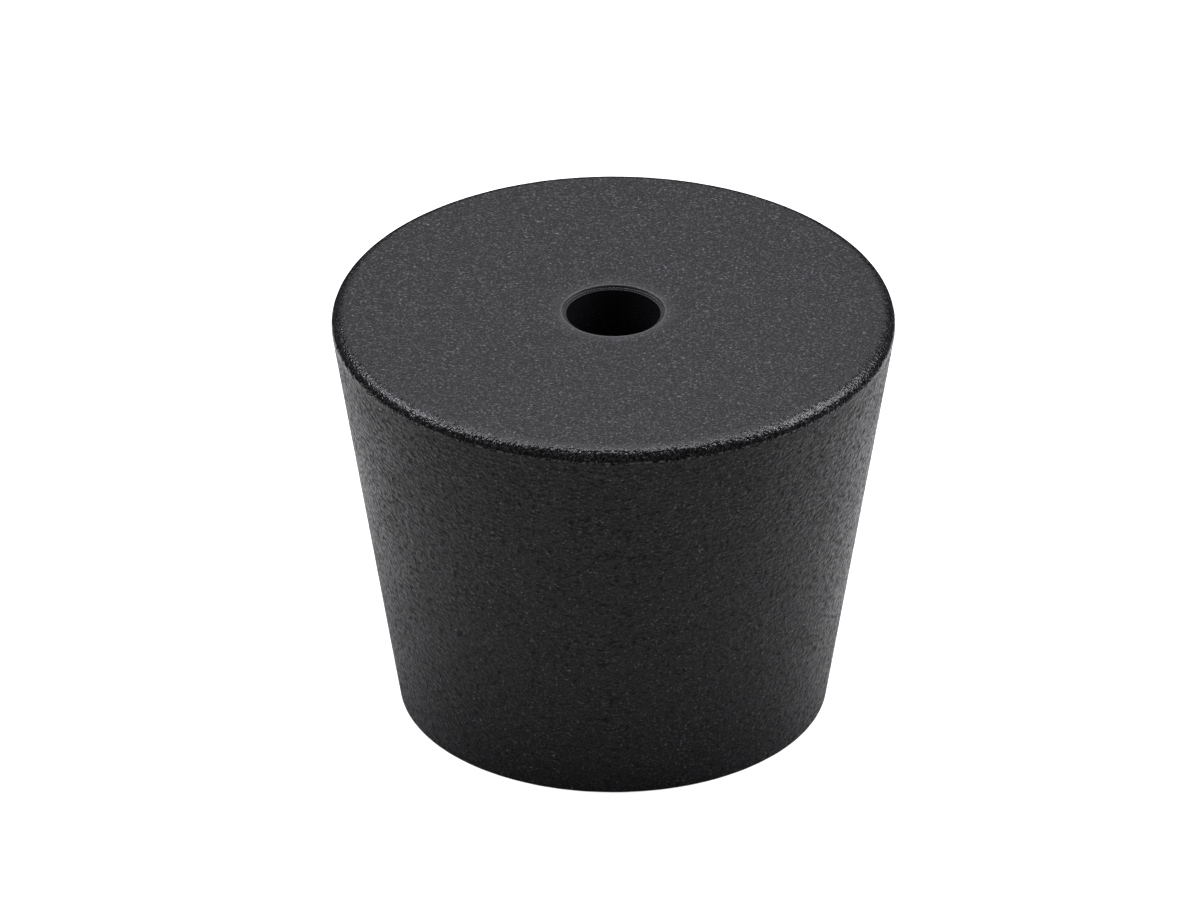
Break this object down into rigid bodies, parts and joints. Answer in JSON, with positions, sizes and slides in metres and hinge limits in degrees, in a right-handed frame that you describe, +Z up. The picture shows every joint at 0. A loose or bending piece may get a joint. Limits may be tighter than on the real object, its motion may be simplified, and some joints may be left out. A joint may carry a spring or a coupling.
{
  "type": "rubber stopper",
  "caption": "Tapered rubber stopper with a straight through hole, which plugs the neck of a flask or bottle around a tube.",
  "frame": {"origin": "centre of the narrow end, in the plane of the face that the stopper stands on", "axes": "+Z runs up the hole's axis from the narrow end to the wide end; the part is turned about +Z, so X and Y are free"},
  "size_m": [0.033, 0.033, 0.0254],
  "materials": {
    "rubber": "matte"
  },
  "bodies": {
    "root": {"stopper": "rubber"}
  },
  "joints": []
}
